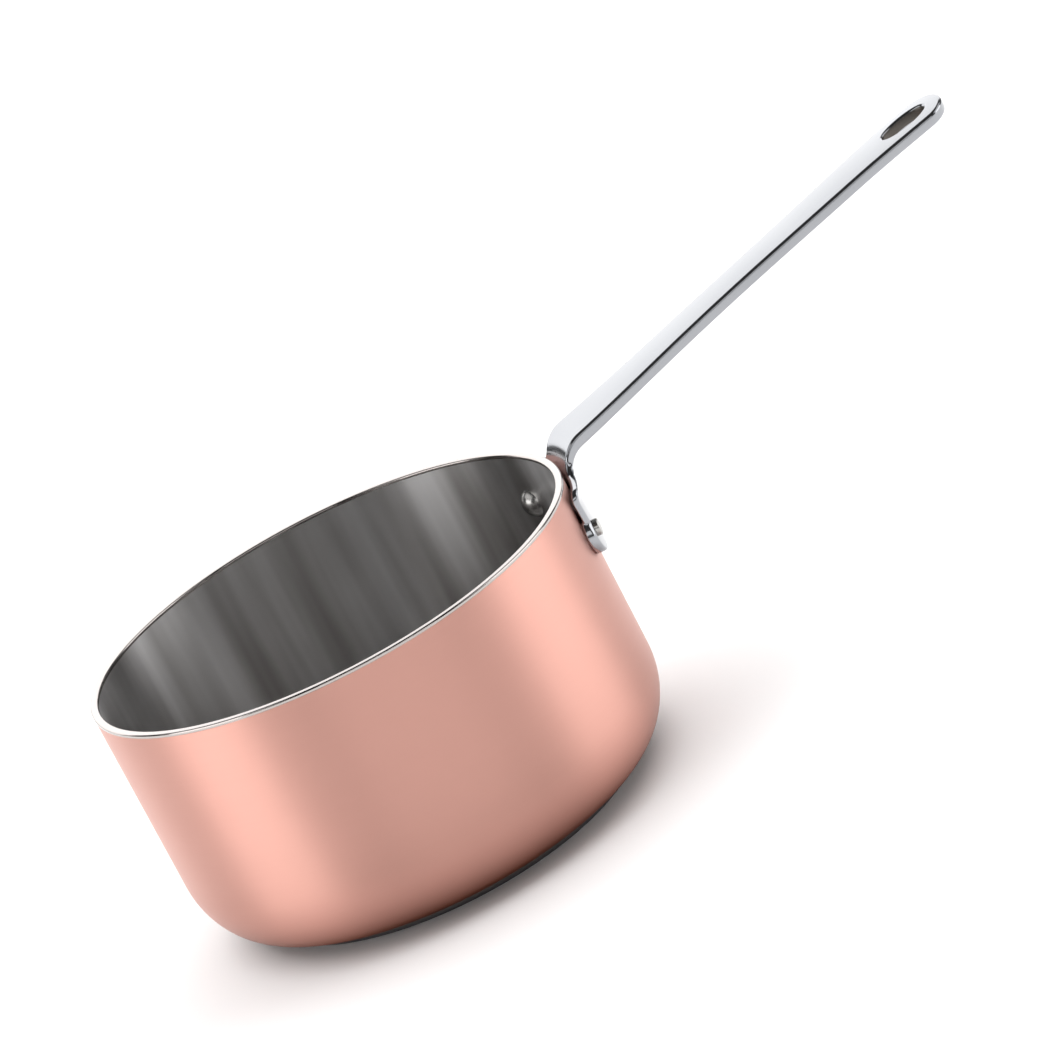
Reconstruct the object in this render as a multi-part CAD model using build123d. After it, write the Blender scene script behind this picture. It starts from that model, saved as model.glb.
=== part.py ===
from build123d import *
import math
import os

# Copper saucepan, 16 cm: a deep-drawn pan of three bonded plies, a magnetic steel
# disc under it, and one cast steel handle held by two rivets through the wall.
# Millimetres.  +Z is up, the origin is the centre of the flat underside, and the
# handle points along +X.

# ---- pan ----
RIM_RADIUS = 80.0            # inside of the rim: this is the 16 cm of the pan
HEIGHT = 91.0                # floor to rim
COPPER_PLY = 0.8
CORE_PLY = 1.1
STEEL_PLY = 0.6
CORNER_WIDTH = 20.0          # radial size of the rounded corner between wall and floor
CORNER_HEIGHT = 25.0         # its height: the corner is a quarter of an ellipse
LIP_HEIGHT = 1.2             # turned-out edge of the steel ply over the other two
LIP_OVERHANG = 0.1           # how far the lip stands outside the copper
LIP_ROUNDING = 0.5

# ---- base disc ----
DISC_RADIUS = 63.8
DISC_THICKNESS = 2.35
DISC_ROUNDING = 1.0

# ---- rivets ----
RIVET_ANGLE = 19.0           # each side of the handle, seen from above
RIVET_DROP = 18.0            # below the rim
SHANK_DIAMETER = 5.6
HEAD_DIAMETER = 10.0
HEAD_HEIGHT = 3.0
TAIL_RADIUS = 87.0           # where the flat outer end stops, from the pan's axis
TAIL_ROUNDING = 0.5

# ---- handle: a strap with a bend, heights of its top face are taken from the rim ----
BAR_SLOPE = 13.0             # degrees above the level
BAR_START_HEIGHT = 3.7       # top face of the bar carried back to the wall
STRAP_THICKNESS = 4.2
NECK_FOOT = (82.95, -5.85)   # radius and height of the neck's pan side, at its foot
NECK_BEND = 87.35            # radius at which its line meets that of the bar's top face
NECK_BEND_RADIUS = 10.0
NECK_UNDER_FOOT = (85.0, -6.2)
NECK_UNDER_BEND = 89.3
NECK_UNDER_BEND_RADIUS = 6.5
TIP_DROP = 4.5               # degrees that the last stretch of the bar turns down
TIP_DROP_RADIUS = 480.0
TIP_DROP_PLACE = 227.6
TIP_REACH = 247.6
NECK_HALF_WIDTH = 10.9
BAR_HALF_WIDTHS = ((102.6, 10.8), (129.9, 9.25), (157.1, 9.0), (184.4, 9.25), (211.7, 10.4))
TIP_HALF_WIDTH = 11.1
TIP_LENGTH = 8.6             # the rounded end is half an ellipse
STRAP_ROUNDING = 0.85
HANG_HOLE_PLACE = 233.4
HANG_HOLE_LENGTH = 16.4
HANG_HOLE_WIDTH = 10.6

# ---- handle: the yoke that the neck widens into, with a pad round each rivet ----
YOKE_TOP = -3.5              # below the rim
YOKE_FOOT = -30.0
YOKE_HALF_WIDTH = 31.2
YOKE_CORNER = 3.0
YOKE_FACE_TOP = 84.9         # radius of its outer face at its top edge
YOKE_FACE_FOOT = 86.1        # and at YOKE_FOOT: the face leans outwards
YOKE_THICKNESS = 2.0
PAD_PLACE = 25.7             # centre of each pad, to the side
PAD_DROP = 19.4              # and below the rim
PAD_HALF_WIDTH = 7.4
PAD_HALF_HEIGHT = 7.1
ARCH_HALF_WIDTH = 17.0
ARCH_TOP = -13.0
ARCH_SPRING = -31.0

WALL_RADIUS = RIM_RADIUS + COPPER_PLY + CORE_PLY + STEEL_PLY
RIVET_HEIGHT = HEIGHT - RIVET_DROP


def pan_line(depth, top):
    """Section line of the pan at one depth under its outer face, from the axis to the height top."""
    floor = DISC_THICKNESS + depth
    corner = (WALL_RADIUS - CORNER_WIDTH, DISC_THICKNESS + CORNER_HEIGHT)
    wall = WALL_RADIUS - depth
    bottom = Line((0, floor), (corner[0], floor))
    bend = EllipticalCenterArc(
        corner, CORNER_WIDTH - depth, CORNER_HEIGHT - depth, start_angle=270, arc_size=90
    )
    side = Line((wall, corner[1]), (wall, top))
    return [bottom, bend, side]


def turned(lines):
    """Solid of revolution about the pan's axis, from the closed section that the lines make."""
    return revolve(Plane.XZ * make_face(lines), Axis.Z, 360)


def ply(outer_depth, inner_depth):
    """One bonded ply of the pan, which ends under the lip of the steel ply."""
    top = HEIGHT - LIP_HEIGHT
    outer = pan_line(outer_depth, top)
    inner = pan_line(inner_depth, top)
    rim = Line((WALL_RADIUS - outer_depth, top), (WALL_RADIUS - inner_depth, top))
    centre = Line((0, DISC_THICKNESS + outer_depth), (0, DISC_THICKNESS + inner_depth))
    return turned(outer + inner + [rim, centre])


def steel_ply():
    """The inside ply, with its edge turned out over the other two and rounded."""
    outer_depth = COPPER_PLY + CORE_PLY
    inner_depth = outer_depth + STEEL_PLY
    under_lip = HEIGHT - LIP_HEIGHT
    lip_radius = WALL_RADIUS + LIP_OVERHANG
    lip = FilletPolyline(
        (WALL_RADIUS - outer_depth, under_lip),
        (lip_radius, under_lip),
        (lip_radius, HEIGHT),
        (RIM_RADIUS, HEIGHT),
        (RIM_RADIUS, under_lip),
        radius=[LIP_ROUNDING / 2, LIP_ROUNDING, LIP_ROUNDING],
    )
    centre = Line((0, DISC_THICKNESS + outer_depth), (0, DISC_THICKNESS + inner_depth))
    return turned(pan_line(outer_depth, under_lip) + pan_line(inner_depth, under_lip) + [lip, centre])


def base_disc():
    """Flat disc of magnetic steel bonded under the copper, with its lower edge rounded."""
    disc = Pos(0, 0, DISC_THICKNESS / 2) * Cylinder(DISC_RADIUS, DISC_THICKNESS)
    return fillet(disc.edges().group_by(Axis.Z)[0], DISC_ROUNDING)


def rivet_axis(side):
    """Place at the pan's axis whose Z runs outwards along one rivet; side is 1 or -1."""
    angle = math.radians(side * RIVET_ANGLE)
    return Plane((0, 0, RIVET_HEIGHT), z_dir=(math.cos(angle), math.sin(angle), 0))


def shank(side, start, end):
    """Plain round pin along one rivet's axis, between two distances from the pan's axis."""
    pin = Cylinder(SHANK_DIAMETER / 2, end - start, align=(Align.CENTER, Align.CENTER, Align.MIN))
    return rivet_axis(side) * Pos(0, 0, start) * pin


def rivet(side):
    """Domed head seated on the inside of the wall, and a shank that ends flat outside the pad."""
    dome_radius = ((HEAD_DIAMETER / 2) ** 2 + HEAD_HEIGHT**2) / (2 * HEAD_HEIGHT)
    dome = rivet_axis(side) * Pos(0, 0, RIM_RADIUS - HEAD_HEIGHT + dome_radius) * Sphere(dome_radius)
    head = dome & Pos(0, 0, RIVET_HEIGHT) * Cylinder(RIM_RADIUS, 4 * HEAD_DIAMETER)
    pin = shank(side, RIM_RADIUS - HEAD_HEIGHT / 2, TAIL_RADIUS)
    end_plane = rivet_axis(side)
    tail_edge = pin.edges().sort_by(lambda edge: (edge.center() - end_plane.origin).dot(end_plane.z_dir))[-1]
    return head + fillet(tail_edge, TAIL_ROUNDING)


def strap_line(foot, bend_place, bend_radius, depth):
    """Side line of one face of the strap, from the foot of the neck to the tip."""
    slope = math.radians(BAR_SLOPE)
    fall = math.radians(BAR_SLOPE - TIP_DROP)
    half_drop = (slope - fall) / 2
    bend_height = BAR_START_HEIGHT + math.tan(slope) * (bend_place - WALL_RADIUS) - depth / math.cos(slope)
    drop_height = BAR_START_HEIGHT + math.tan(slope) * (TIP_DROP_PLACE - WALL_RADIUS)
    tip_height = drop_height + math.tan(fall) * (TIP_REACH - TIP_DROP_PLACE)
    reach = depth / math.cos(half_drop)
    drop = (
        TIP_DROP_PLACE + reach * math.sin(slope - half_drop),
        drop_height - reach * math.cos(slope - half_drop),
    )
    tip = (TIP_REACH + depth * math.sin(fall), tip_height - depth * math.cos(fall))
    path = FilletPolyline(
        foot, (bend_place, bend_height), drop, tip, radius=[bend_radius, TIP_DROP_RADIUS + depth]
    )
    return path, tip


def strap():
    """Neck and bar: the side section carried across, cut to the outline seen from above."""
    top, top_tip = strap_line(NECK_FOOT, NECK_BEND, NECK_BEND_RADIUS, 0)
    under, under_tip = strap_line(NECK_UNDER_FOOT, NECK_UNDER_BEND, NECK_UNDER_BEND_RADIUS, STRAP_THICKNESS)
    lines = [top, under, Line(NECK_FOOT, NECK_UNDER_FOOT), Line(top_tip, under_tip)]
    section = Plane.XZ * make_face(lines)
    slab = Pos(0, 0, HEIGHT) * extrude(section, amount=3 * NECK_HALF_WIDTH, both=True)

    tip_centre = TIP_REACH - TIP_LENGTH
    half = [(WALL_RADIUS - 5, NECK_HALF_WIDTH), *BAR_HALF_WIDTHS, (tip_centre, TIP_HALF_WIDTH)]
    far_side = Spline(*half, tangents=[(1, 0), (1, 0)])
    near_side = Spline(*[(x, -y) for x, y in half], tangents=[(1, 0), (1, 0)])
    end = EllipticalCenterArc((tip_centre, 0), TIP_LENGTH, TIP_HALF_WIDTH, start_angle=-90, arc_size=180)
    start = Line((half[0][0], -half[0][1]), half[0])
    outline = make_face([far_side, near_side, end, start])
    hang_hole = Pos(HANG_HOLE_PLACE, 0) * Ellipse(HANG_HOLE_LENGTH / 2, HANG_HOLE_WIDTH / 2)
    bar = slab & extrude(outline - hang_hole, amount=2 * HEIGHT)
    above_rim = [edge for edge in bar.edges() if edge.center().Z > HEIGHT + 1]
    return fillet([edge for edge in above_rim if edge.length > 2 * STRAP_THICKNESS], STRAP_ROUNDING)


def yoke():
    """Curved plate clear of the wall, arched between two pads that bear on the copper."""
    sheet = Polygon(
        (-YOKE_HALF_WIDTH, YOKE_TOP),
        (YOKE_HALF_WIDTH, YOKE_TOP),
        (YOKE_HALF_WIDTH, -PAD_DROP),
        (-YOKE_HALF_WIDTH, -PAD_DROP),
        align=None,
    )
    sheet = fillet(sheet.vertices().group_by(Axis.Y)[-1], YOKE_CORNER)
    sheet -= Pos(0, ARCH_SPRING) * Ellipse(ARCH_HALF_WIDTH, ARCH_TOP - ARCH_SPRING)
    pads = Sketch()
    for side in (1, -1):
        pads += Pos(side * PAD_PLACE, -PAD_DROP) * Ellipse(PAD_HALF_WIDTH, PAD_HALF_HEIGHT)
    collar = make_face(
        Polyline(
            (YOKE_FACE_TOP, YOKE_TOP),
            (YOKE_FACE_FOOT, YOKE_FOOT),
            (YOKE_FACE_FOOT - YOKE_THICKNESS, YOKE_FOOT),
            (YOKE_FACE_TOP - YOKE_THICKNESS, YOKE_TOP),
            close=True,
        )
    )
    pad_ring = make_face(
        Polyline(
            (YOKE_FACE_TOP, YOKE_TOP),
            (YOKE_FACE_FOOT, YOKE_FOOT),
            (WALL_RADIUS, YOKE_FOOT),
            (WALL_RADIUS, YOKE_TOP),
            close=True,
        )
    )
    lift = Pos(0, 0, HEIGHT)
    plate_blank = lift * revolve(Plane.XZ * collar, Axis.Z, 360)
    pad_blank = lift * revolve(Plane.XZ * pad_ring, Axis.Z, 360)
    reach = 2 * WALL_RADIUS
    plate = plate_blank & lift * extrude(Plane.YZ * (sheet + pads), amount=reach, dir=(1, 0, 0))
    bosses = pad_blank & lift * extrude(Plane.YZ * pads, amount=reach, dir=(1, 0, 0))
    return plate + bosses


def handle():
    """The one casting: strap and yoke joined, rounded, and drilled for the rivets."""
    body = strap() + yoke()
    for side in (1, -1):
        body -= shank(side, WALL_RADIUS - 5, TAIL_RADIUS + 5)
    return body


def drilled(body):
    """The same ply with its two rivet holes."""
    for side in (1, -1):
        body -= shank(side, RIM_RADIUS - 5, TAIL_RADIUS)
    return body


def named_parts():
    """Every separate piece of the pan, by name."""
    copper_end = COPPER_PLY
    core_end = COPPER_PLY + CORE_PLY
    return {
        "copper_shell": drilled(ply(0, copper_end)),
        "aluminium_core": drilled(ply(copper_end, core_end)),
        "steel_liner": drilled(steel_ply()),
        "base_disc": base_disc(),
        "handle": handle(),
        "rivet_left": rivet(1),
        "rivet_right": rivet(-1),
    }


os.makedirs("parts", exist_ok=True)
for name, body in named_parts().items():
    print(name, len(body.solids()), round(body.volume, 1), body.bounding_box())
    export_step(body, f"parts/{name}.step")
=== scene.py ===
import math

import bmesh
import bpy
import numpy as np
from mathutils import Matrix, Vector


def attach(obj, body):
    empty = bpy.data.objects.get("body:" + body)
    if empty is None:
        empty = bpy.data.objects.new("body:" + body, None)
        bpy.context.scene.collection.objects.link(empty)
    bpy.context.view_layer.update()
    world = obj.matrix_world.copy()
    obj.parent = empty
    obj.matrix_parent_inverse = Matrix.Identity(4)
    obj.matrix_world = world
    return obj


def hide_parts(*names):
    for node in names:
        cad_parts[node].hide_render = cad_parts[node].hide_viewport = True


# Copper saucepan, put together from the pan outwards: copper, core, lining, base disc,
# handle, rivets, then the table, lights and camera. Metres; +Z up, the handle along +X.
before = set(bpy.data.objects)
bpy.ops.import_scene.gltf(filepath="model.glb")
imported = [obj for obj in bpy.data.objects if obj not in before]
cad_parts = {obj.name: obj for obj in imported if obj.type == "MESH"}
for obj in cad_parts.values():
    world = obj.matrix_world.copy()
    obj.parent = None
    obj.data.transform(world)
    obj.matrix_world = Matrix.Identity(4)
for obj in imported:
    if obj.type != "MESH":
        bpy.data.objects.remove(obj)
bpy.context.scene.view_settings.view_transform = "Standard"
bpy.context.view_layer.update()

# ---------------------------------------------------------------- copper shell
# The outside of the pan: sheet copper, deep drawn in one piece with a rounded corner between
# wall and floor, then satin finished on a lathe, so its hairlines run round it. Its colour is
# browner at the foot, in place of the shadow on the table that copper would mirror there.

MM = 0.001
DISC_THICKNESS = 2.35
RIM_HEIGHT = 91.0
UNDER_LIP = RIM_HEIGHT - 1.2
COPPER_RADIUS = 82.5
COPPER_PLY = 0.8
CORNER_WIDTH = 20.0
CORNER_HEIGHT = 25.0
PAINTED_SHADOW_UP_TO, PAINTED_SHADOW_PER_METRE = 0.005, 95


def pan_line(depth, top):
    """Section of the pan at one depth under its outer face, as points (radius, height) in mm.

    A straight floor, a quarter of an ellipse whose half-axes shrink by the depth, and a
    straight wall up to the height top.
    """
    turn = np.linspace(0, math.pi / 2, 33)
    corner_radius = COPPER_RADIUS - CORNER_WIDTH + (CORNER_WIDTH - depth) * np.sin(turn)
    corner_height = DISC_THICKNESS + CORNER_HEIGHT - (CORNER_HEIGHT - depth) * np.cos(turn)
    floor = np.linspace(0, 1, 12)[:-1] * (COPPER_RADIUS - CORNER_WIDTH)
    wall = np.linspace(0, 1, 24)[1:] * (top - DISC_THICKNESS - CORNER_HEIGHT) + DISC_THICKNESS + CORNER_HEIGHT
    radius = np.concatenate([floor, corner_radius, np.full(len(wall), COPPER_RADIUS - depth)])
    height = np.concatenate([np.full(len(floor), DISC_THICKNESS + depth), corner_height, wall])
    return np.stack([radius, height], axis=1)


def turned(section, steps=360):
    """Surface of revolution: each section point (radius, height) carried round the Z axis."""
    angle = np.linspace(0, 2 * math.pi, steps + 1)
    radius, height = section[:, 0][:, None], section[:, 1][:, None]
    return np.stack([radius * np.cos(angle), radius * np.sin(angle), height + 0 * angle], axis=2)


def made_piece(name, grids, finish, node, sharp=40):
    """One closed piece from grids of points in mm: each grid of m by n points gives m-1 by n-1
    faces, points in one place are merged, and the faces are turned to point outwards."""
    points, faces, start = [], [], 0
    for grid in grids:
        rows, columns = grid.shape[:2]
        index = np.arange(rows * columns).reshape(rows, columns) + start
        corners = [index[:-1, :-1], index[1:, :-1], index[1:, 1:], index[:-1, 1:]]
        faces.append(np.stack(corners, axis=2).reshape(-1, 4))
        points.append(grid.reshape(-1, 3) * MM)
        start += rows * columns
    mesh = bpy.data.meshes.new(name)
    mesh.from_pydata(np.concatenate(points), [], np.concatenate(faces).tolist())
    work = bmesh.new()
    work.from_mesh(mesh)
    bmesh.ops.remove_doubles(work, verts=work.verts, dist=0.004 * MM)
    bmesh.ops.recalc_face_normals(work, faces=work.faces)
    work.to_mesh(mesh)
    work.free()
    mesh.shade_smooth()
    mesh.set_sharp_from_angle(angle=math.radians(sharp))
    mesh.materials.append(finish)
    piece = bpy.data.objects.new(name, mesh)
    bpy.context.scene.collection.objects.link(piece)
    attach(piece, "root")
    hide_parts(node)
    return piece


class Value:
    """One number that varies over a finish. Arithmetic on it adds Math nodes."""

    def __init__(self, finish, socket):
        self.finish, self.socket = finish, socket

    def math(self, operation, *others, clamp=False):
        inputs = dict(enumerate((self, *others)))
        return self.finish.node("ShaderNodeMath", {"operation": operation, "use_clamp": clamp}, inputs)

    def __add__(self, other):
        return self.math("ADD", other)

    def __mul__(self, other):
        return self.math("MULTIPLY", other)

    def __sub__(self, other):
        return self.math("SUBTRACT", other)

    def __rsub__(self, other):
        return (self * -1.0) + other

    __radd__, __rmul__ = __add__, __mul__


class Finish:
    """A metal finish: a Principled shader, and the patterns on Object coordinates that feed it."""

    def __init__(self, name, **shader_values):
        self.material = bpy.data.materials.new(name)
        self.material.use_nodes = True
        self.tree = self.material.node_tree
        self.shader = self.tree.nodes["Principled BSDF"]
        for socket, value in shader_values.items():
            self.shader.inputs[socket.replace("_", " ")].default_value = value
        place = self.node("ShaderNodeTexCoord", {}, {}, "Object")
        self.x, self.y, self.z = (self.node("ShaderNodeSeparateXYZ", {}, {0: place}, axis) for axis in "XYZ")

    def node(self, kind, settings, inputs, output=0):
        """A node of that kind with its settings, then its sockets filled with values or links."""
        made = self.tree.nodes.new(kind)
        for name, value in settings.items():
            setattr(made, name, value)
        for socket, value in inputs.items():
            if isinstance(value, Value):
                self.tree.links.new(value.socket, made.inputs[socket])
            else:
                made.inputs[socket].default_value = value
        return Value(self, made.outputs[output])

    def feed(self, socket, value):
        """Links a varying value to one socket of the shader."""
        self.tree.links.new(value.socket, self.shader.inputs[socket])

    def grain(self, x, y, z, detail=2.0):
        """Noise from 0 to 1 whose grains are as long along each axis as 1 over its number."""
        at = self.node("ShaderNodeCombineXYZ", {}, {0: self.x * x, 1: self.y * y, 2: self.z * z})
        return self.node("ShaderNodeTexNoise", {}, {"Vector": at, "Scale": 1.0, "Detail": detail}, "Fac")

    def between(self, amount, low, high):
        """A colour that goes from low to high as amount goes from 0 to 1."""
        settings = {"data_type": "RGBA", "blend_type": "MIX"}
        low, high = (end if isinstance(end, Value) else (*end, 1) for end in (low, high))
        return self.node("ShaderNodeMix", settings, {0: amount, 6: low, 7: high}, 2)


satin_copper = Finish("satin copper", Metallic=1.0, Anisotropic=0.85, Anisotropic_Rotation=0.25)
hairlines = satin_copper.grain(14, 14, 1500)
clouds = satin_copper.grain(16, 16, 16)
fresh = satin_copper.between(clouds, (0.760, 0.418, 0.350), (0.790, 0.441, 0.371))
# painted shadow: the copper darkens to near black towards the foot, standing in for the table's shadow that
# it would mirror there
painted_shadow_at_foot = ((satin_copper.z - PAINTED_SHADOW_UP_TO) * -PAINTED_SHADOW_PER_METRE).math("EXPONENT", clamp=True)
satin_copper.feed("Base Color", satin_copper.between(painted_shadow_at_foot, fresh, (0.16, 0.045, 0.022)))
satin_copper.feed("Roughness", hairlines * 0.05 + clouds * 0.04 + 0.44)

section = np.concatenate([pan_line(0, UNDER_LIP), pan_line(COPPER_PLY, UNDER_LIP)[::-1]])
made_piece("copper_shell", [turned(section)], satin_copper.material, "copper_shell")

# ---------------------------------------------------------------- aluminium core
# The middle ply, rolled aluminium bonded between copper and steel. It lies wholly under
# the lip and shows nowhere, so the modelled core is kept, with a plain rolled finish.

rolled_aluminium = Finish("rolled aluminium", Metallic=1.0)
rolling = rolled_aluminium.grain(30, 30, 900)
rolled_aluminium.feed("Base Color", rolled_aluminium.between(rolling, (0.74, 0.75, 0.76), (0.82, 0.82, 0.83)))
rolled_aluminium.feed("Roughness", rolling * 0.12 + 0.34)
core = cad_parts["aluminium_core"]
core.data.materials.clear()
core.data.materials.append(rolled_aluminium.material)

# ---------------------------------------------------------------- steel lining
# The inside ply, stainless steel, brushed round the pan. Streaks of tone up the wall stand
# for the uneven room that it would mirror. Its edge is turned out over the other two plies
# as the lip of the pan, rounded over and polished.

CORE_PLY = 1.1
STEEL_PLY = 0.6
LINING_FROM = COPPER_PLY + CORE_PLY
LINING_RADIUS = COPPER_RADIUS - LINING_FROM - STEEL_PLY
LIP_RADIUS = COPPER_RADIUS + 0.1
LIP_ROUNDING = 0.5
LIP_FOOT = 0.15


def rounded_lip():
    """Section of the lip, outside to inside: two quarter circles joined by the flat rim."""
    turn = np.linspace(0, math.pi / 2, 9)
    across, up = LIP_ROUNDING * (1 - np.cos(turn)), LIP_ROUNDING * (1 - np.sin(turn))
    outer = [LIP_RADIUS - across, RIM_HEIGHT - up]
    inner = [LINING_RADIUS + up, RIM_HEIGHT - across]
    foot = [[LIP_RADIUS - LIP_FOOT, LIP_RADIUS], [UNDER_LIP, UNDER_LIP + LIP_FOOT]]
    return np.concatenate([np.transpose(foot), np.transpose(outer), np.transpose(inner)])


brushed_lining = Finish("brushed lining steel", Metallic=1.0, Anisotropic=0.85, Anisotropic_Rotation=0.25)
brushing = brushed_lining.grain(10, 10, 1300)
drift = brushed_lining.grain(55, 55, 4, 3.0)
broad = brushed_lining.grain(24, 24, 5, 2.0)
# painted reflections: broad dark and light streaks of tone up the wall stand for the uneven room that the
# steel would mirror
painted_reflection_streaks = (drift * 0.6 + broad * 0.8 - 0.45).math("MULTIPLY", 2.4, clamp=True)
brushed_with_painted_reflections = brushed_lining.between(painted_reflection_streaks, (0.17, 0.155, 0.145), (0.90, 0.89, 0.89))
lip = brushed_lining.z.math("GREATER_THAN", (UNDER_LIP + 0.1) * MM)
brushed_lining.feed("Base Color", brushed_lining.between(lip, brushed_with_painted_reflections, (0.50, 0.46, 0.44)))
brushed_lining.feed("Roughness", (brushing * 0.06 + drift * 0.16 + 0.26) * (1.0 - lip) + lip * 0.16)

outer_face = pan_line(LINING_FROM, UNDER_LIP)
inner_face = pan_line(LINING_FROM + STEEL_PLY, UNDER_LIP)
section = np.concatenate([outer_face, rounded_lip(), inner_face[::-1]])
made_piece("steel_lining", [turned(section)], brushed_lining.material, "steel_liner")

# ---------------------------------------------------------------- base disc
# A flat disc of magnetic steel pressed and bonded under the copper, so that the pan
# works on an induction hob. Faced on a lathe, with its lower edge rounded.

DISC_RADIUS = 63.8
DISC_ROUNDING = 1.0


def disc_line():
    """Section of the disc: top face out to the side, a quarter circle, and the underside."""
    turn = np.linspace(0, math.pi / 2, 9)
    across = np.linspace(0, DISC_RADIUS, 20)
    edge = [DISC_RADIUS - DISC_ROUNDING * (1 - np.cos(turn)), DISC_ROUNDING * (1 - np.sin(turn))]
    top = [across, np.full(20, DISC_THICKNESS)]
    under = [(across * (1 - DISC_ROUNDING / DISC_RADIUS))[::-1], np.zeros(20)]
    return np.concatenate([np.transpose(top), np.transpose(edge), np.transpose(under)])


faced_steel = Finish("faced magnetic steel", Metallic=1.0, Anisotropic=0.5)
from_axis = (faced_steel.x * faced_steel.x + faced_steel.y * faced_steel.y).math("SQRT")
across_rings = faced_steel.node("ShaderNodeCombineXYZ", {}, {0: from_axis * 2400, 1: faced_steel.z * 900})
rings = faced_steel.node("ShaderNodeTexNoise", {}, {"Vector": across_rings, "Scale": 1.0}, "Fac")
faced_steel.feed("Base Color", faced_steel.between(rings, (0.16, 0.16, 0.165), (0.24, 0.24, 0.245)))
faced_steel.feed("Roughness", rings * 0.14 + 0.28)
made_piece("base_disc", [turned(disc_line())], faced_steel.material, "base_disc")

# ---------------------------------------------------------------- handle
# One steel casting, polished: a yoke that wraps the wall and bears on it with two pads, a
# neck that leans out over the rim, and a long bar that ends round, with a hole to hang by,
# which has a darker colour inside, in place of the shade there.

BAR_SLOPE = math.radians(13.0)
BAR_START, BAR_BOW, TIP_DROOP = 3.68, 0.38, 1.6
BOW_FROM, BOW_LENGTH, DROOP_FROM, DROOP_LENGTH = 92.4, 114.2, 206.6, 41.0
STRAP_THICKNESS = 4.2
FOOT_BEND, TOP_BEND, UNDER_BEND = 9.0, 10.0, 6.5
TIP_REACH = 247.59
TOP_SIDE = [(84.1, -30.0), (82.95, -5.6), (87.35, 4.82), (97.35, 7.13)]
UNDER_SIDE = [(86.1, -30.0), (84.95, -6.0), (89.3, 1.0), (99.3, 3.31)]
PLATE_STEPS, FOOT_STEPS, NECK_STEPS, BEND_STEPS, BAR_STEPS = 90, 20, 16, 30, 400


def bar_height(reach):
    """Middle of the bar's top face above the rim: a slope, a slight bow upwards over most of
    its length, as the square of a sine, and a droop over the last 41 mm, as a parabola."""
    bowed = np.clip((reach - BOW_FROM) / BOW_LENGTH, 0, 1)
    drooped = np.clip((reach - DROOP_FROM) / DROOP_LENGTH, 0, 1)
    slope = BAR_START + math.tan(BAR_SLOPE) * (reach - COPPER_RADIUS)
    return slope + BAR_BOW * np.sin(math.pi * bowed) ** 2 - TIP_DROOP * drooped**2


def side_line(corners, foot_radius, bend_radius, depth):
    """One face of the casting seen from the side, (radius, height over the rim) from the
    yoke's foot to the tip: plate, arc, neck, arc, and the bar at that depth under its top."""
    corner = np.array(corners)
    way = np.diff(corner, axis=0)
    way /= np.linalg.norm(way, axis=1)[:, None]
    runs, start = [], corner[0]
    bends = [(foot_radius, (PLATE_STEPS, FOOT_STEPS)), (bend_radius, (NECK_STEPS, BEND_STEPS))]
    for turn, (radius, steps) in enumerate(bends):
        before, after = way[turn], way[turn + 1]
        angle = math.acos(float(before @ after))
        begin = corner[turn + 1] - before * radius * math.tan(angle / 2)
        inwards = np.array([before[1], -before[0]])
        part = np.linspace(0, 1, steps[0], endpoint=False)[:, None]
        runs.append(start + (begin - start) * part)
        swept = np.linspace(0, angle, steps[1], endpoint=False)[:, None]
        runs.append(begin + radius * (np.sin(swept) * before + (1 - np.cos(swept)) * inwards))
        start = begin + radius * (math.sin(angle) * before + (1 - math.cos(angle)) * inwards)
    reach = np.linspace(start[0], TIP_REACH, BAR_STEPS)
    rise = start[1] - (bar_height(start[0]) - depth)
    height = bar_height(reach) - depth + rise * np.clip(1 - (reach - start[0]) / 12, 0, 1) ** 2
    return np.concatenate([*runs, np.stack([reach, height], axis=1)])


top_line = side_line(TOP_SIDE, FOOT_BEND, TOP_BEND, 0.0)
under_line = side_line(UNDER_SIDE, FOOT_BEND, UNDER_BEND, STRAP_THICKNESS / math.cos(BAR_SLOPE))
middle = (top_line + under_line) / 2
along = np.concatenate([[0], np.cumsum(np.linalg.norm(np.diff(middle, axis=0), axis=1))])
LEVEL_STEPS = PLATE_STEPS + FOOT_STEPS + NECK_STEPS


def at_height(height):
    """Distance along the casting at a height over the rim, on the yoke or the neck."""
    return float(np.interp(height, middle[:LEVEL_STEPS, 1], along[:LEVEL_STEPS]))


def at_reach(reach):
    """Distance along the casting at a radius from the pan's axis, on the bar."""
    return float(np.interp(reach, middle[LEVEL_STEPS:, 0], along[LEVEL_STEPS:]))


def eased(point_rows, reach=1.0, step=0.05):
    """A line of (side, along) points, walked in even steps with its corners softened by a
    running mean; also the length at which each of its pieces ends."""
    line = np.concatenate([piece if first == 0 else piece[1:] for first, piece in enumerate(point_rows)])
    length = np.concatenate([[0], np.cumsum(np.linalg.norm(np.diff(line, axis=0), axis=1))])
    ends = length[np.cumsum([len(piece) for piece in point_rows]) - np.arange(1, len(point_rows) + 1)]
    walk = np.linspace(0, length[-1], int(length[-1] / step) + 1)
    even = np.stack([np.interp(walk, length, line[:, axis]) for axis in (0, 1)], axis=1)
    window = int(reach / step) | 1
    kernel = np.hanning(window + 2)[1:-1] / np.hanning(window + 2)[1:-1].sum()
    padded = np.pad(even, ((window // 2, window // 2), (0, 0)), mode="edge")
    soft = np.stack([np.convolve(padded[:, axis], kernel, "valid") for axis in (0, 1)], axis=1)
    share = np.clip(np.minimum(walk, walk[-1] - walk) / reach - 0.6, 0, 1)[:, None]
    return walk, even + (soft - even) * share, ends


def arc(centre, half_side, half_along, start, end, steps=60):
    """Part of an ellipse in the flat pattern; angles in degrees from the side towards the tip."""
    turn = np.radians(np.linspace(start, end, steps))
    return np.stack([centre[0] + half_side * np.cos(turn), centre[1] + half_along * np.sin(turn)], axis=1)


def straight(begin, end, steps=40):
    """A straight piece of the flat pattern."""
    return np.linspace(begin, end, steps)


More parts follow.
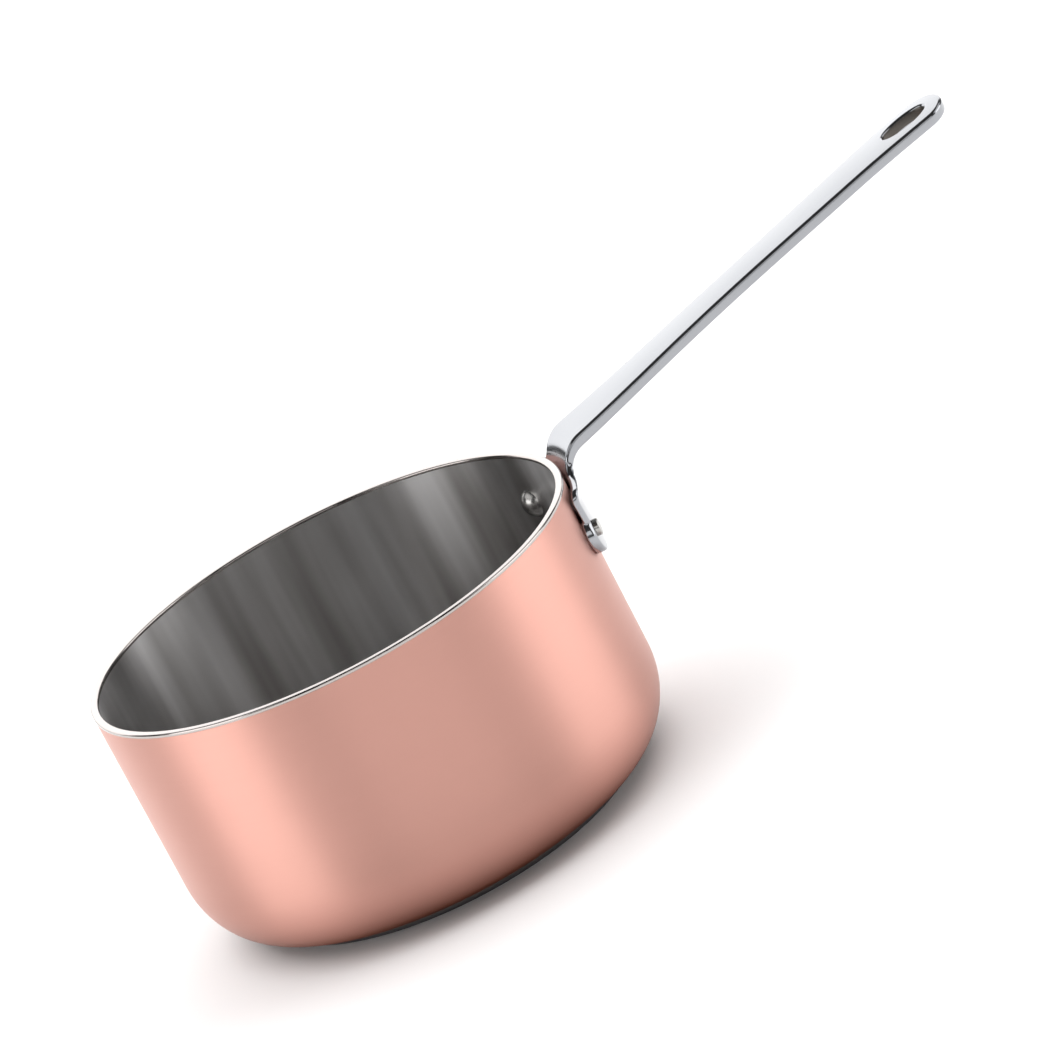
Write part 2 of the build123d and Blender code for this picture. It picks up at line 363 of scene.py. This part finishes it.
# the flat pattern of one half: the outer edge from the foot of the pad to the tip ...
YOKE_TOP = at_height(-3.5)
YOKE_HALF, YOKE_CORNER, FLARE = 31.2, 3.0, 3.6
PAD = (25.7, at_height(-19.4))
PAD_HALF_WIDTH, PAD_HALF_HEIGHT = 7.4, 7.1
TIP_FROM = at_reach(239.0)
TIP_HALF = 11.1
NECK_WIDTHS = [(82.0, 10.9), (90.0, 10.9), (102.6, 10.8)]
BAR_WIDTHS = [(129.9, 9.25), (157.1, 9.0), (184.4, 9.25), (211.7, 10.4), (228.0, 11.0), (239.0, TIP_HALF)]
widths = np.polynomial.Polynomial.fit(*np.transpose(NECK_WIDTHS + BAR_WIDTHS), 6)
sides_walk = np.linspace(YOKE_TOP + FLARE, TIP_FROM, 400)
sides_reach = np.interp(sides_walk, along, middle[:, 0])
sides_half = widths(np.maximum(sides_reach, 84.5))
neck_half = sides_half[0]
pad_meets = math.degrees(math.acos((YOKE_HALF - PAD[0]) / PAD_HALF_WIDTH))
side_foot = PAD[1] + PAD_HALF_HEIGHT * math.sin(math.radians(pad_meets))
outer_pieces = [
    arc(PAD, PAD_HALF_WIDTH, PAD_HALF_HEIGHT, -90, pad_meets),
    straight((YOKE_HALF, side_foot), (YOKE_HALF, YOKE_TOP - YOKE_CORNER)),
    arc((YOKE_HALF - YOKE_CORNER, YOKE_TOP - YOKE_CORNER), YOKE_CORNER, YOKE_CORNER, 0, 90),
    straight((YOKE_HALF - YOKE_CORNER, YOKE_TOP), (neck_half + FLARE, YOKE_TOP)),
    arc((neck_half + FLARE, YOKE_TOP + FLARE), FLARE, FLARE, 270, 180),
    np.stack([sides_half, sides_walk], axis=1),
    arc((0, TIP_FROM), TIP_HALF, along[-1] - TIP_FROM, 0, 90),
]
outer_walk, outer_edge, outer_ends = eased(outer_pieces)

# ... the inner edge, under the pad and over the arch, and the hole near the tip
ARCH_FOOT, ARCH_TOP, ARCH_HALF = at_height(-30.0) - 1.0, at_height(-13.0), 17.0
arch_meets = math.degrees(math.asin((PAD[1] - ARCH_FOOT) / (ARCH_TOP - ARCH_FOOT)))
arch_side = ARCH_HALF * math.cos(math.radians(arch_meets))
inner_pieces = [
    arc(PAD, PAD_HALF_WIDTH, PAD_HALF_HEIGHT, -90, -180),
    straight((PAD[0] - PAD_HALF_WIDTH, PAD[1]), (arch_side, PAD[1])),
    arc((0, ARCH_FOOT), ARCH_HALF, ARCH_TOP - ARCH_FOOT, arch_meets, 90),
]
inner_walk, inner_edge, inner_ends = eased(inner_pieces, 1.6)
HOLE_REACH, HOLE_HALF_LENGTH, HOLE_HALF_WIDTH = 233.4, 8.2, 5.3
HOLE = (at_reach(HOLE_REACH - HOLE_HALF_LENGTH), at_reach(HOLE_REACH + HOLE_HALF_LENGTH))
hole_centre = (0, (HOLE[0] + HOLE[1]) / 2)
hole_half = arc(hole_centre, HOLE_HALF_WIDTH, (HOLE[1] - HOLE[0]) / 2, -90, 90, 400)
hole_walk, hole_edge, hole_ends = eased([hole_half], 0.1)


def edge_rounding(distance):
    """Radius of the rounded edge: small on the yoke, larger on the neck and bar."""
    thickness = np.linalg.norm(under_line - top_line, axis=1)
    return np.interp(distance, along, np.clip(0.36 * thickness, 0.5, 1.05))


def stations(walk, line, spans, outwards):
    """Points at even steps within each span of an edge, and the direction out of the metal
    there; outwards is 1 where the metal lies to the left of the way along the edge."""
    even = [np.linspace(low, high, steps, endpoint=False) for low, high, steps in spans]
    places = np.concatenate(even + [[spans[-1][1]]])
    tangent = np.gradient(line, axis=0)
    tangent /= np.linalg.norm(tangent, axis=1)[:, None]
    out = outwards * np.stack([tangent[:, 1], -tangent[:, 0]], axis=1)
    points, ways = (
        np.stack([np.interp(places, walk, rows[:, axis]) for axis in (0, 1)], axis=1) for rows in (line, out)
    )
    return points, ways / np.linalg.norm(ways, axis=1)[:, None]


def laid(side, distance, depth):
    """The casting's shape: flat pattern (side, distance) and depth from 0 on the top or pan
    side to 1 on the under or outer side, to points. The side lines give radius and height;
    the top is crowned by a parabola, the yoke is wrapped on a circle, and the pads are
    brought in to the wall."""
    top, under = (
        np.stack([np.interp(distance, along, line[:, axis]) for axis in (0, 1)], axis=-1)
        for line in (top_line, under_line)
    )
    from_pad = np.hypot((side - PAD[0]) / PAD_HALF_WIDTH, (distance - PAD[1]) / PAD_HALF_HEIGHT)
    boss = np.clip((1.04 - from_pad) / 0.08, 0, 1)
    boss = boss * boss * (3 - 2 * boss)
    brought_in = (1 - depth) * boss * (top[..., 0] - COPPER_RADIUS)
    radius = top[..., 0] + depth * (under[..., 0] - top[..., 0]) - brought_in
    crown = 0.0042 * side**2 * (1 - depth) * np.clip((top[..., 0] - 90) / 30, 0, 1)
    height = top[..., 1] + depth * (under[..., 1] - top[..., 1]) - crown + RIM_HEIGHT
    wrap = np.clip((6.0 - top[..., 1]) / 9.0, 0, 1)
    wrap = wrap * wrap * (3 - 2 * wrap)
    forward = radius - wrap * (radius - np.sqrt(radius**2 - side**2))
    return np.stack([forward, side + 0 * forward, height], axis=-1)


def rounded_edge(edge, out, steps=7):
    """Rows of (side, distance, drop) from the wall of an edge in over its quarter-round."""
    radius = edge_rounding(edge[:, 1])[:, None]
    turn = np.linspace(0, math.pi / 2, steps)
    inwards = radius * (1 - np.cos(turn))
    flat = edge[:, None, :] - out[:, None, :] * inwards[..., None]
    return flat[..., 0], flat[..., 1], radius * (1 - np.sin(turn))


def strip(side, distance, drop):
    """Both faces and the wall between them for one band of the pattern: the rows on the top,
    then the wall, then the same rows backwards on the under side."""
    thickness = np.interp(distance, along, np.linalg.norm(under_line - top_line, axis=1))
    share = drop / thickness
    wall = share[:, :1] + (1 - 2 * share[:, :1]) * np.array([0.33, 0.67])
    depth = np.concatenate([share[:, ::-1], wall, 1 - share], axis=1)
    sides = np.concatenate([side[:, ::-1], np.repeat(side[:, :1], 2, axis=1), side], axis=1)
    distances = np.concatenate([distance[:, ::-1], np.repeat(distance[:, :1], 2, axis=1), distance], axis=1)
    return laid(sides, distances, depth)


flare_from = outer_ends[3] - 6.0
hole_from, hole_to = outer_ends[5] - (TIP_FROM - HOLE[0]), outer_ends[5] + 7.6
outer_spans = [
    (0, outer_ends[0], 34),
    (outer_ends[0], outer_ends[1], 26),
    (outer_ends[1], flare_from, 30),
    (flare_from, outer_ends[4], 40),
    (outer_ends[4], hole_from, 170),
    (hole_from, hole_to, 44),
    (hole_to, outer_ends[6], 26),
]
rim_points, rim_out = stations(outer_walk, outer_edge, outer_spans, 1)
arch_from = inner_ends[1] + 7.0
arch_spans = [(0, inner_ends[0], 34), (inner_ends[0], arch_from, 26), (arch_from, inner_ends[2], 30)]
arch_points, arch_out = stations(inner_walk, inner_edge, arch_spans, -1)
hole_points, hole_out = stations(hole_walk, hole_edge, [(0, hole_ends[0], 44)], -1)
rim_out[0] = arch_out[0] = (0, -1)
rim_out[-1] = (0, 1)
arch_points[-1, 0] = hole_points[0, 0] = hole_points[-1, 0] = rim_points[-1, 0] = 0
arch_out[-1], hole_out[0], hole_out[-1] = (0, -1), (0, 1), (0, -1)

rim_rows = rounded_edge(rim_points, rim_out)
arch_rows = rounded_edge(arch_points, arch_out)
hole_rows = rounded_edge(hole_points, hole_out)
arch_inside = np.stack([arch_rows[0][:, -1], arch_rows[1][:, -1]], axis=1)
hole_inside = np.stack([hole_rows[0][:, -1], hole_rows[1][:, -1]], axis=1)
rim_inside = np.stack([rim_rows[0][:, -1], rim_rows[1][:, -1]], axis=1)
neck_middle = np.linspace(arch_inside[-1], (0, at_height(1.5)), 41)
bar_middle = np.linspace(neck_middle[-1], hole_inside[0], 171)
tip_middle = np.linspace(hole_inside[-1], rim_inside[-1], 27)
middle_rows = np.concatenate([arch_inside, neck_middle[1:], bar_middle[1:], hole_inside[1:], tip_middle[1:]])
share = np.linspace(0, 1, 37)[None, :, None]
across = rim_inside[:, None, :] + (middle_rows - rim_inside)[:, None, :] * share
side = np.concatenate([rim_rows[0], across[:, 1:, 0]], axis=1)
distance = np.concatenate([rim_rows[1], across[:, 1:, 1]], axis=1)
drop = np.concatenate([rim_rows[2], np.zeros(across[:, 1:, 0].shape)], axis=1)
half = [strip(side, distance, drop), strip(*arch_rows), strip(*hole_rows)]
other_half = [grid * np.array([1, -1, 1]) for grid in half]

polished_steel = Finish("polished steel", Metallic=1.0)
polishing = polished_steel.grain(40, 600, 600, 3.0)
smears = polished_steel.grain(26, 26, 26)
bright = polished_steel.between(smears, (0.335, 0.342, 0.362), (0.385, 0.392, 0.412))
# painted shade: inside the hanging hole the steel is given a near-black colour, standing in for the shade
# there; it is also made rougher there
from_hole = (polished_steel.x - HOLE_REACH * MM) * (1 / (HOLE_HALF_LENGTH * MM))
beside_hole = polished_steel.y * (1 / (HOLE_HALF_WIDTH * MM))
in_hole = (from_hole * from_hole + beside_hole * beside_hole).math("LESS_THAN", 1.04)
polished_steel.feed("Base Color", polished_steel.between(in_hole, bright, (0.11, 0.10, 0.09)))
polished_steel.feed("Roughness", polishing * 0.03 + smears * 0.04 + in_hole * 0.3 + 0.10)
made_piece("handle", half + other_half, polished_steel.material, "handle", 50)

# ---------------------------------------------------------------- rivets
# Two steel rivets through wall and pads, one each side of the neck, tumbled smooth: a low
# dome inside the pan, and outside a short shank end, faced flat with its edge eased.

RIVET_ANGLE = 19.0
RIVET_HEIGHT = RIM_HEIGHT - 18.0
HEAD_RADIUS, HEAD_RISE = 5.0, 3.0
SHANK_RADIUS, SHANK_FROM, SHANK_TO = 2.8, 80.6, 85.5
TAIL_END, TAIL_EASE, TAIL_CENTRE = 87.0, 0.5, 1.2


def rivet_line():
    """Section of a rivet along its axis, (radius, distance from the pan's axis): a circle's
    cap that stands HEAD_RISE proud of the wall, the shank, and its eased flat end."""
    ball = (HEAD_RADIUS**2 + HEAD_RISE**2) / (2 * HEAD_RISE)
    turn = np.linspace(0, math.asin(HEAD_RADIUS / ball), 24)
    cap = [ball * np.sin(turn), LINING_RADIUS - HEAD_RISE + ball * (1 - np.cos(turn))]
    ease = np.linspace(0, math.pi / 2, 9)
    end = [SHANK_RADIUS - TAIL_EASE * (1 - np.cos(ease)), TAIL_END - TAIL_EASE * (1 - np.sin(ease))]
    shank = [[SHANK_RADIUS, SHANK_RADIUS], [SHANK_FROM, SHANK_TO]]
    centre = [[TAIL_CENTRE, 0.0], [TAIL_END, TAIL_END]]
    return np.concatenate([np.transpose(cap), np.transpose(shank), np.transpose(end), np.transpose(centre)])


def set_rivet(angle):
    """The rivet's surface of revolution, with its axis laid level at that angle."""
    round_it = turned(rivet_line(), 72)
    across, up, out = round_it[..., 0], round_it[..., 1], round_it[..., 2]
    cos, sin = math.cos(math.radians(angle)), math.sin(math.radians(angle))
    return np.stack([out * cos - across * sin, out * sin + across * cos, up + RIVET_HEIGHT], axis=-1)


rivet_steel = Finish("tumbled rivet steel", Metallic=1.0)
dimples = rivet_steel.grain(420, 420, 420, 3.0)
rivet_steel.feed("Base Color", rivet_steel.between(dimples, (0.36, 0.35, 0.34), (0.50, 0.49, 0.47)))
rivet_steel.feed("Roughness", dimples * 0.10 + 0.20)
made_piece("rivet_left", [set_rivet(RIVET_ANGLE)], rivet_steel.material, "rivet_left")
made_piece("rivet_right", [set_rivet(-RIVET_ANGLE)], rivet_steel.material, "rivet_right")

# ---------------------------------------------------------------- table, lights, camera
# A wide pale table lit from above, white panels behind, in front and to both sides of the
# pan, low and high, for its metals to mirror, and a long-lens camera in front of it, tilted
# so that the handle points up and to the right.


def table(half_size):
    """A flat square, one face."""
    corners = np.array([(-1, -1, 0), (1, -1, 0), (1, 1, 0), (-1, 1, 0)]) * half_size
    mesh = bpy.data.meshes.new("table")
    mesh.from_pydata(corners, [], [(0, 1, 2, 3)])
    made = bpy.data.objects.new("table", mesh)
    bpy.context.scene.collection.objects.link(made)
    return made


floor = table(12.0)
pale = bpy.data.materials.new("pale table")
pale.use_nodes = True
paint = pale.node_tree.nodes["Principled BSDF"].inputs
paint["Base Color"].default_value = (0.9, 0.9, 0.9, 1)
paint["Roughness"].default_value = 1.0
paint["Specular IOR Level"].default_value = 0.0
floor.data.materials.append(pale)


def panel(name, place, aim, width, height, radiance, in_reflections=True):
    """A soft rectangular light at a place, facing a point; radiance is what a mirror shows of it."""
    lamp = bpy.data.lights.new(name, "AREA")
    lamp.shape, lamp.size, lamp.size_y = "RECTANGLE", width, height
    lamp.energy = radiance * math.pi * width * height
    light = bpy.data.objects.new(name, lamp)
    bpy.context.scene.collection.objects.link(light)
    light.location = place
    light.rotation_euler = (Vector(place) - Vector(aim)).to_track_quat("Z", "Y").to_euler()
    light.visible_camera = False
    light.visible_glossy = in_reflections


panel("overhead", (0, 1.2, 3.2), (0, 1.2, 0), 6.0, 5.0, 2.3, False)
panel("back panel", (0, 3.5, 1.4), (0, 0, 1.4), 6.0, 1.9, 1.8)
panel("front panel", (0, -3.5, 1.5), (0, 0, 1.5), 4.0, 1.4, 1.3)
panel("left panel", (-1.8, -0.2, 0.5), (0, 0, 0.2), 1.3, 1.0, 2.5)
panel("right panel", (1.8, -0.35, 0.5), (0, 0, 0.2), 1.4, 1.0, 2.5)
panel("high left panel", (-2.3, 0, 2.3), (0, 0, 0), 3.6, 1.5, 0.9)
panel("high right panel", (2.3, 0, 2.3), (0, 0, 0), 3.6, 1.5, 0.9)

world = bpy.data.worlds.new("studio")
world.use_nodes = True
world.node_tree.nodes["Background"].inputs["Color"].default_value = (0.06, 0.06, 0.06, 1)
bpy.context.scene.world = world

# the camera's axes: right, up and back, turned about its line of sight
AROUND, ABOVE, TILT = (math.radians(angle) for angle in (9.5, 17.58, 27.45))
back = np.array([-math.sin(AROUND) * math.cos(ABOVE), -math.cos(AROUND) * math.cos(ABOVE), math.sin(ABOVE)])
level = np.array([math.cos(AROUND), -math.sin(AROUND), 0.0])
upright = np.cross(back, level)
right = level * math.cos(TILT) - upright * math.sin(TILT)
up = level * math.sin(TILT) + upright * math.cos(TILT)
ASIDE, RAISED, AWAY = 0.04228, 0.05909, 2.0481
middle_of_pan = np.array([0.0, 0.0, 0.04643])
stand = middle_of_pan + ASIDE * right + RAISED * up + AWAY * back
lens = bpy.data.cameras.new("camera")
lens.sensor_width, lens.lens = 36.0, 223.9
lens.clip_end = 100.0
camera = bpy.data.objects.new("camera", lens)
bpy.context.scene.collection.objects.link(camera)
camera.matrix_world = Matrix([[*row] for row in np.stack([right, up, back, stand], axis=1)] + [[0, 0, 0, 1]])
bpy.context.scene.camera = camera
